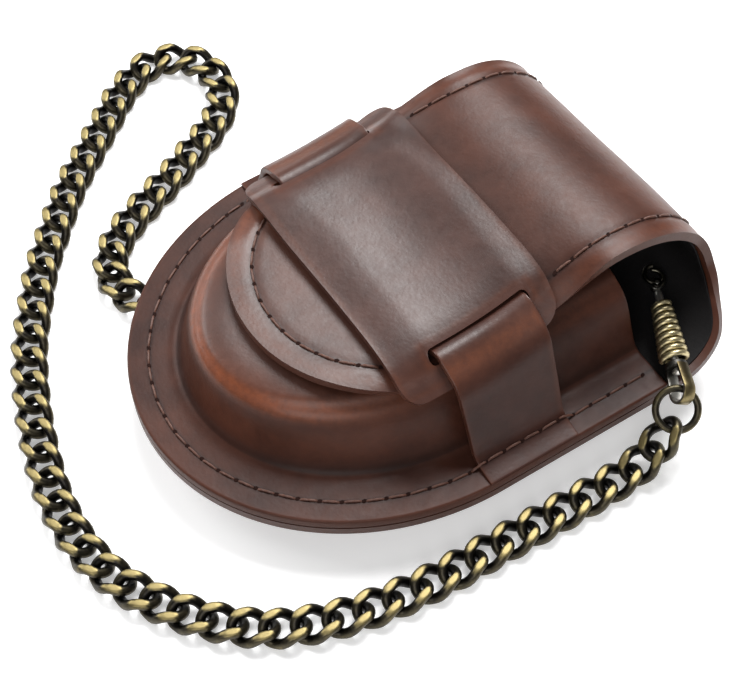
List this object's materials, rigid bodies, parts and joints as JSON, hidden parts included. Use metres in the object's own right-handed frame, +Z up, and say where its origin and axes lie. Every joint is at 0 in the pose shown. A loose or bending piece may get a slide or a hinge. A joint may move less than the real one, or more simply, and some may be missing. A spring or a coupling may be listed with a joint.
{
  "type": "belt pouch for a pocket watch",
  "caption": "Stitched leather belt pouch for a pocket watch, with a rolled top, tongue flap under a slotted keeper, belt loop, twisted link chain and spring clasp.",
  "frame": {"origin": "middle of the footprint of the pouch without its chain and clasp, on the surface it lies on", "axes": "+X across the pouch toward the side the chain hangs from, +Y toward the rolled top and the pocket mouth, +Z up, away from the belt loop"},
  "size_m": [0.1383, 0.1205, 0.0341],
  "materials": {
    "leather": "oiled, worn at the edges",
    "lining": "matte black",
    "thread": "waxed thread",
    "chain_brass": "antiqued",
    "clasp_steel": "satin",
    "spring_brass": "bright"
  },
  "bodies": {
    "pouch": {"back_panel": "leather", "back_lining": "lining", "front_panel": "leather", "front_lining": "lining", "keeper_band": "leather", "keeper_strap": "leather", "belt_loop": "leather", "flange_stitches": "thread", "roll_stitches": "thread", "loop_stitches": "thread", "chain_loop": "leather", "chain_near": "chain_brass", "chain_front": "chain_brass", "chain_far": "chain_brass", "chain_tail": "chain_brass", "jump_ring": "chain_brass", "clasp_eye": "clasp_steel"},
    "flap": {"flap": "leather", "flap_lining": "lining", "flap_stitches": "thread"},
    "clasp": {"clasp_rod": "clasp_steel", "clasp_spring": "spring_brass"},
    "upper": {"claw_upper": "spring_brass"},
    "lower": {"claw_lower": "spring_brass"}
  },
  "joints": [
    {"name": "flap_slide", "type": "slide", "parent": "pouch", "child": "flap", "axis": [0, 1, 0], "range_m": [0, 0.047]},
    {"name": "clasp_turn", "type": "hinge", "parent": "pouch", "child": "clasp", "pos_m": [0.0382, 0.03335, 0.0122], "axis": [-0.9019, 0.4168, 0.1132], "range_deg": [-30, 10]},
    {"name": "claw_open", "type": "hinge", "parent": "clasp", "child": "upper", "pos_m": [0.02395, 0.03993, 0.01399], "axis": [0.1028, -0.0475, 0.9936], "range_deg": [0, 20]},
    {"name": "claw_follow", "type": "hinge", "parent": "clasp", "child": "lower", "pos_m": [0.02395, 0.03993, 0.01399], "axis": [0.1028, -0.0475, 0.9936], "range_deg": [-20, 0]}
  ],
  "couplings": [
    {"joint": "claw_follow", "follows": "claw_open", "ratio": -1}
  ]
}
